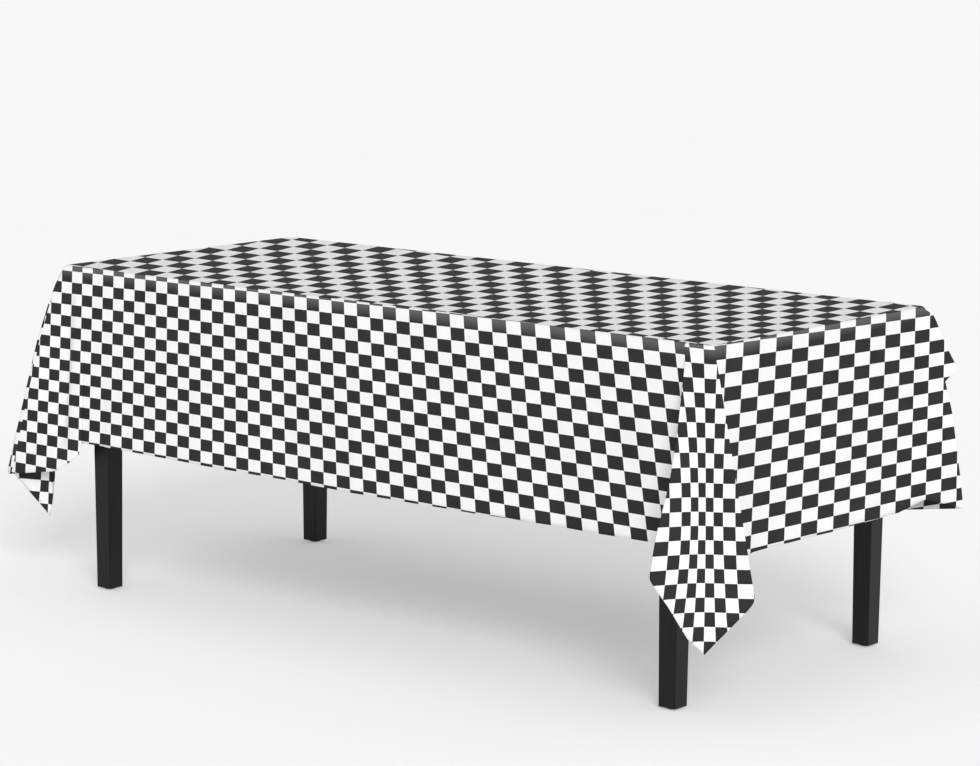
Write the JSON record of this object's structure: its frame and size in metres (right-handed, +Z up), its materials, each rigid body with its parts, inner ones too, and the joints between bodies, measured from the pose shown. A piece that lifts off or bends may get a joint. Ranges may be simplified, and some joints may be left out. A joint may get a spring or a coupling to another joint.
{
  "type": "tablecloth on a table",
  "caption": "Rectangular check tablecloth draped over a long dining table on square tapered legs, hanging down on every side with a fold at each corner.",
  "frame": {"origin": "on the floor under the middle of the table", "axes": "+X along the table's length, +Z up, -Y towards the front, which is the long side that the picture shows"},
  "size_m": [2.0546, 1.0614, 0.7411],
  "materials": {
    "check_cloth": "satin",
    "top_laminate": "satin",
    "edge_moulding": "satin",
    "black_wood": "satin",
    "plain_wood": "matte",
    "zinc_steel": "satin",
    "glide_plastic": "matte"
  },
  "bodies": {
    "table": {"tabletop": "top_laminate", "edge_moulding": "edge_moulding", "apron_front": "black_wood", "apron_back": "black_wood", "apron_left": "black_wood", "apron_right": "black_wood", "cross_rail_left": "plain_wood", "cross_rail_right": "plain_wood", "leg_front_left": "black_wood", "corner_bracket_front_left": "zinc_steel", "glide_front_left": "glide_plastic", "leg_front_right": "black_wood", "corner_bracket_front_right": "zinc_steel", "glide_front_right": "glide_plastic", "leg_back_left": "black_wood", "corner_bracket_back_left": "zinc_steel", "glide_back_left": "glide_plastic", "leg_back_right": "black_wood", "corner_bracket_back_right": "zinc_steel", "glide_back_right": "glide_plastic", "hanger_bolts": "zinc_steel", "bolt_washers": "zinc_steel", "wing_nuts": "zinc_steel", "bracket_screws": "zinc_steel", "rail_screws": "zinc_steel", "top_clips": "zinc_steel", "clip_screws": "zinc_steel", "glide_nails": "zinc_steel"},
    "tablecloth": {"cloth_top": "check_cloth", "cloth_skirt_front": "check_cloth", "cloth_skirt_back": "check_cloth", "cloth_skirt_left": "check_cloth", "cloth_skirt_right": "check_cloth", "cloth_corner_front_left": "check_cloth", "cloth_corner_front_right": "check_cloth", "cloth_corner_back_left": "check_cloth", "cloth_corner_back_right": "check_cloth"}
  },
  "joints": [
    {"name": "cloth_lift", "type": "slide", "parent": "table", "child": "tablecloth", "axis": [0, 0, 1], "range_m": [0, 0.62]}
  ]
}
